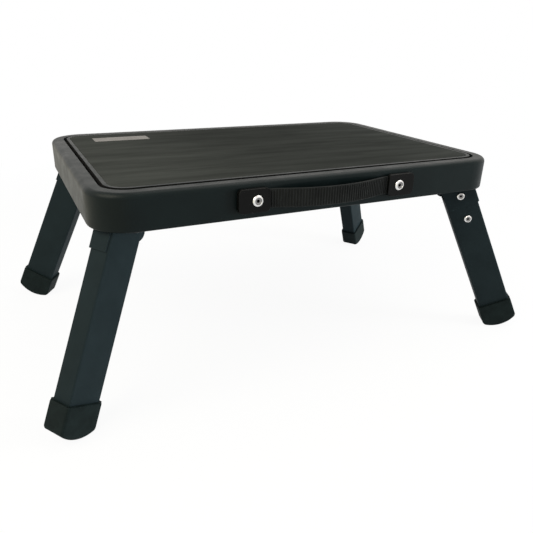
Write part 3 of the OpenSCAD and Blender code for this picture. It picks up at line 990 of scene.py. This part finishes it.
class STEP_OT_stage(bpy.types.Operator):
    """Sets the camera, the lamps, the sky and the floor"""

    bl_idname = "step.stage"
    bl_label = "Stage"

    def execute(self, context):
        look = context.scene.step_stage
        self.camera(context, look)
        self.lamps(context, look)
        self.sky(context, look)
        self.floor(look)
        context.scene.view_settings.view_transform = "Standard"
        return {"FINISHED"}

    def camera(self, context, look):
        right = Vector((math.cos(look.yaw), -math.sin(look.yaw), 0))
        ahead = Vector(
            (
                math.sin(look.yaw) * math.cos(look.pitch),
                math.cos(look.yaw) * math.cos(look.pitch),
                -math.sin(look.pitch),
            )
        )
        up = right.cross(ahead)
        turn = Matrix.Rotation(-look.roll, 3, ahead)
        right, up = turn @ right, turn @ up
        data = bpy.data.cameras.new("photo_camera")
        data.lens = look.lens
        data.sensor_width = 36
        data.clip_start = 0.01
        camera = bpy.data.objects.new("photo_camera", data)
        context.scene.collection.objects.link(camera)
        facing = Matrix((right, up, -ahead)).transposed().to_4x4()
        camera.matrix_world = Matrix.Translation(look.camera_place) @ facing
        context.scene.camera = camera

    def lamps(self, context, look):
        """Sets the lamps. Reflections don't show the side lamp."""
        for name, place, aim, size, share, colour in LAMPS:
            data = bpy.data.lights.new(name, "AREA")
            data.shape = "DISK"
            data.size = size
            data.energy = look.power * share
            data.color = colour
            lamp = bpy.data.objects.new(name, data)
            context.scene.collection.objects.link(lamp)
            lamp.location = place
            lamp.rotation_mode = "QUATERNION"
            lamp.rotation_quaternion = (Vector(aim) - Vector(place)).to_track_quat("-Z", "Y")
            lamp.visible_glossy = name != "side"

    def sky(self, context, look):
        """White to the camera, a little warm in reflections, and a weaker even light on the step."""
        world = bpy.data.worlds.new("studio")
        world.use_nodes = True
        context.scene.world = world
        w = Wiring(world.node_tree)
        ground = next(n for n in world.node_tree.nodes if n.type == "BACKGROUND")
        ray = w.add("ShaderNodeLightPath")
        seen = w.maths("MAXIMUM", ray.outputs["Is Camera Ray"], ray.outputs["Is Transmission Ray"])
        mirrored = between(w, ray.outputs["Is Glossy Ray"], 0, 1, look.sky, look.shine)
        level = between(w, seen, 0, 1, mirrored, 1.0)
        warm = tint(w, ray.outputs["Is Glossy Ray"], (1, 1, 1), (1.07, 1.03, 0.99))
        world.node_tree.links.new(warm, ground.inputs["Color"])
        world.node_tree.links.new(level, ground.inputs["Strength"])

    def floor(self, look):
        """White floor that glows where it is seen, takes a faint shadow, and is clear from below."""
        mesh = bpy.data.meshes.new("studio_floor")
        reach = 6
        corners = [(x * reach, y * reach, 0) for x, y in ((-1, -1), (1, -1), (1, 1), (-1, 1))]
        mesh.from_pydata(corners, [], [(0, 1, 2, 3)])
        material, w, shader = base_finish("Studio floor", look.floor_colour, 0.9)
        ray = w.add("ShaderNodeLightPath")
        bright = between(w, ray.outputs["Is Glossy Ray"], 0, 1, 1.0, look.floor_shine)
        place = w.add("ShaderNodeTexCoord")
        across = w.add("ShaderNodeSeparateXYZ", vector=place.outputs["Object"])

        # Reflections show a warmer floor on the left
        left = between(w, across.outputs["X"], -0.55, -0.30, 1, 0)
        warm = tint(w, w.maths("MULTIPLY", left, ray.outputs["Is Glossy Ray"]), (1, 1, 1), (1.24, 1.18, 0.98))
        glow = w.add("ShaderNodeEmission", color=warm, strength=bright)

        # The glow covers all but a little of the shadow near the step, and all of it far away
        away = w.add("ShaderNodeVectorMath", {"operation": "LENGTH"}, vector=place.outputs["Object"])
        share = between(w, away.outputs["Value"], 0.35, 1.1, 0.93, 1.0)
        seen = w.maths("MAXIMUM", ray.outputs["Is Camera Ray"], ray.outputs["Is Glossy Ray"])
        seen = w.maths("MAXIMUM", seen, ray.outputs["Is Transmission Ray"])
        above = self.mixed(w, w.maths("MULTIPLY", seen, share), shader, glow)

        # Views from below pass through the floor
        back = w.add("ShaderNodeNewGeometry").outputs["Backfacing"]
        both = self.mixed(w, back, above, w.add("ShaderNodeBsdfTransparent"))
        output = next(n for n in material.node_tree.nodes if n.type == "OUTPUT_MATERIAL")
        material.node_tree.links.new(both.outputs[0], output.inputs["Surface"])
        mesh.materials.append(material)
        link("studio_floor", mesh)

    @staticmethod
    def mixed(w, share, first, second):
        """Mixes two shaders by the second one's share."""
        mix = w.add("ShaderNodeMixShader")
        w.tree.links.new(share, mix.inputs[0])
        w.tree.links.new(first.outputs[0], mix.inputs[1])
        w.tree.links.new(second.outputs[0], mix.inputs[2])
        return mix


# Panel and registration

PIECES = (
    STEP_OT_deck,
    STEP_OT_tread,
    STEP_OT_legs,
    STEP_OT_feet,
    STEP_OT_hinges,
    STEP_OT_rivets,
    STEP_OT_handle,
    STEP_OT_stage,
)


class STEP_PT_panel(bpy.types.Panel):
    """Lists the step's settings and pieces"""

    bl_idname = "STEP_PT_panel"
    bl_label = "Caravan entry step"
    bl_space_type = "VIEW_3D"
    bl_region_type = "UI"
    bl_category = "Step"

    def draw(self, context):
        for group in (context.scene.step_look, context.scene.step_sizes, context.scene.step_stage):
            box = self.layout.box()
            for key in group.__annotations__:
                box.prop(group, key)
        for piece in PIECES:
            self.layout.operator(piece.bl_idname)


GROUPS = (("step_look", STEP_PG_look), ("step_sizes", STEP_PG_sizes), ("step_stage", STEP_PG_stage))


def register():
    for name, group in GROUPS:
        bpy.utils.register_class(group)
        setattr(bpy.types.Scene, name, bpy.props.PointerProperty(type=group))
    for item in (*PIECES, STEP_PT_panel):
        bpy.utils.register_class(item)


def unregister():
    for item in reversed((*PIECES, STEP_PT_panel)):
        bpy.utils.unregister_class(item)
    for name, group in reversed(GROUPS):
        delattr(bpy.types.Scene, name)
        bpy.utils.unregister_class(group)


def main():
    register()
    bpy.ops.step.deck()
    bpy.ops.step.tread()
    bpy.ops.step.legs()
    bpy.ops.step.feet()
    bpy.ops.step.hinges()
    bpy.ops.step.rivets()
    bpy.ops.step.handle()
    bpy.ops.step.stage()


if __name__ == "__main__":
    main()
